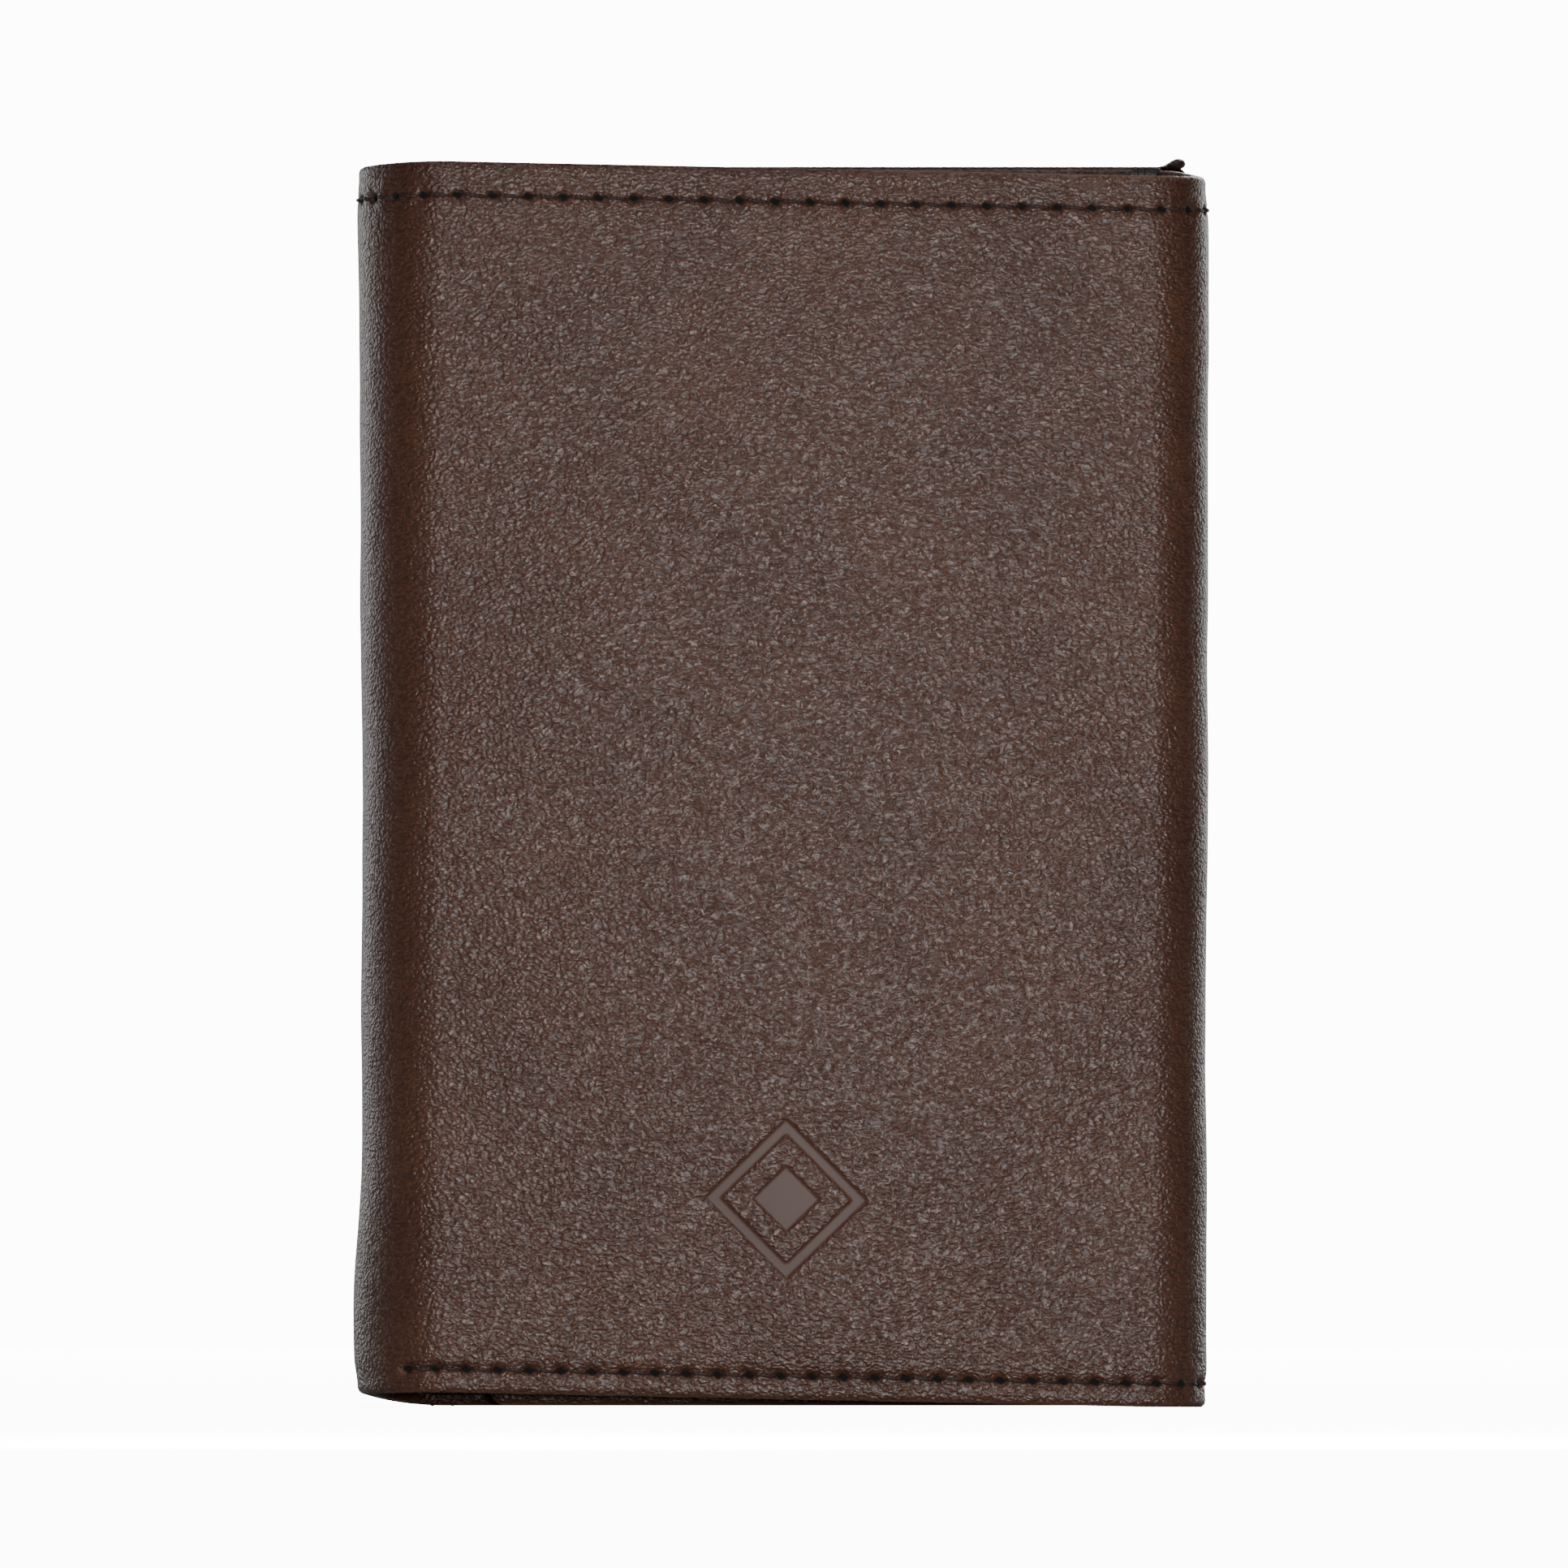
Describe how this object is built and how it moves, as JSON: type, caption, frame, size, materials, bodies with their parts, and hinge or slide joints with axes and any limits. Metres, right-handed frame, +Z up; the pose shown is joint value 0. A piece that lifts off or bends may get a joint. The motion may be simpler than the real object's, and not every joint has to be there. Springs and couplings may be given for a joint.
{
  "type": "trifold wallet",
  "caption": "Upright trifold wallet in smooth brown leather: a middle panel with an ID window, an inner panel and a flap with card pockets, joined by two stitched folds.",
  "frame": {"origin": "centre of the closed wallet's outline on the surface it stands on", "axes": "+Z up the wallet's height, -Y out of the middle panel's outer face, -X towards the large fold that carries the flap"},
  "size_m": [0.075, 0.0202, 0.1103],
  "materials": {
    "shell_leather": "smooth fine-grained, semi-gloss, dark brown",
    "inner_leather": "smooth, matte, dark brown",
    "board": "dull pressed fibre board",
    "lining_cloth": "fine twill, dull",
    "clear_film": "clear soft film",
    "thread": "waxed twisted thread, dark brown"
  },
  "bodies": {
    "middle_panel": {"shell_middle": "shell_leather", "stiffener_middle": "board", "lining_middle": "lining_cloth", "backing_middle": "inner_leather", "id_window_film": "clear_film", "id_window_frame": "inner_leather", "id_frame_seam": "thread", "seam_top_middle": "thread", "seam_bottom_middle": "thread"},
    "outer_spine": {"outer_fold_leather": "shell_leather", "outer_fold_lining": "lining_cloth", "outer_fold_backing": "inner_leather", "outer_fold_seam_top": "thread"},
    "flap": {"shell_flap": "shell_leather", "stiffener_flap": "board", "lining_flap": "lining_cloth", "backing_flap": "inner_leather", "flap_card_pocket_1": "inner_leather", "flap_card_pocket_2": "inner_leather", "flap_card_pocket_3": "inner_leather", "seam_flap": "thread"},
    "inner_spine": {"inner_fold_leather": "shell_leather", "inner_fold_lining": "lining_cloth", "inner_fold_backing": "inner_leather", "inner_fold_seam_top": "thread", "inner_fold_seam_bottom": "thread"},
    "inner_panel": {"shell_inner": "shell_leather", "stiffener_inner": "board", "lining_inner": "lining_cloth", "backing_inner": "inner_leather", "inner_card_pocket_1": "inner_leather", "inner_card_pocket_2": "inner_leather", "inner_card_pocket_3": "inner_leather", "seam_inner": "thread"}
  },
  "joints": [
    {"name": "outer_spine_fold", "type": "hinge", "parent": "middle_panel", "child": "outer_spine", "pos_m": [-0.03565, -0.00827, 0], "axis": [0, 0, 1], "range_deg": [0, 90], "deforming": ["outer_fold_leather", "outer_fold_lining", "outer_fold_backing", "outer_fold_seam_top"]},
    {"name": "flap_fold", "type": "hinge", "parent": "outer_spine", "child": "flap", "pos_m": [-0.03565, 0.00827, 0], "axis": [0, 0, 1], "range_deg": [0, 90]},
    {"name": "inner_spine_fold", "type": "hinge", "parent": "middle_panel", "child": "inner_spine", "pos_m": [0.03627, -0.0089, 0], "axis": [0, 0, -1], "range_deg": [0, 90], "deforming": ["inner_fold_leather", "inner_fold_lining", "inner_fold_backing", "inner_fold_seam_top", "inner_fold_seam_bottom"]},
    {"name": "inner_panel_fold", "type": "hinge", "parent": "inner_spine", "child": "inner_panel", "pos_m": [0.03627, 0.0011, 0], "axis": [0, 0, -1], "range_deg": [0, 90]}
  ],
  "couplings": [
    {"joint": "flap_fold", "follows": "outer_spine_fold", "ratio": 1},
    {"joint": "inner_spine_fold", "follows": "outer_spine_fold", "ratio": 0.25},
    {"joint": "inner_panel_fold", "follows": "outer_spine_fold", "ratio": 0.25}
  ]
}
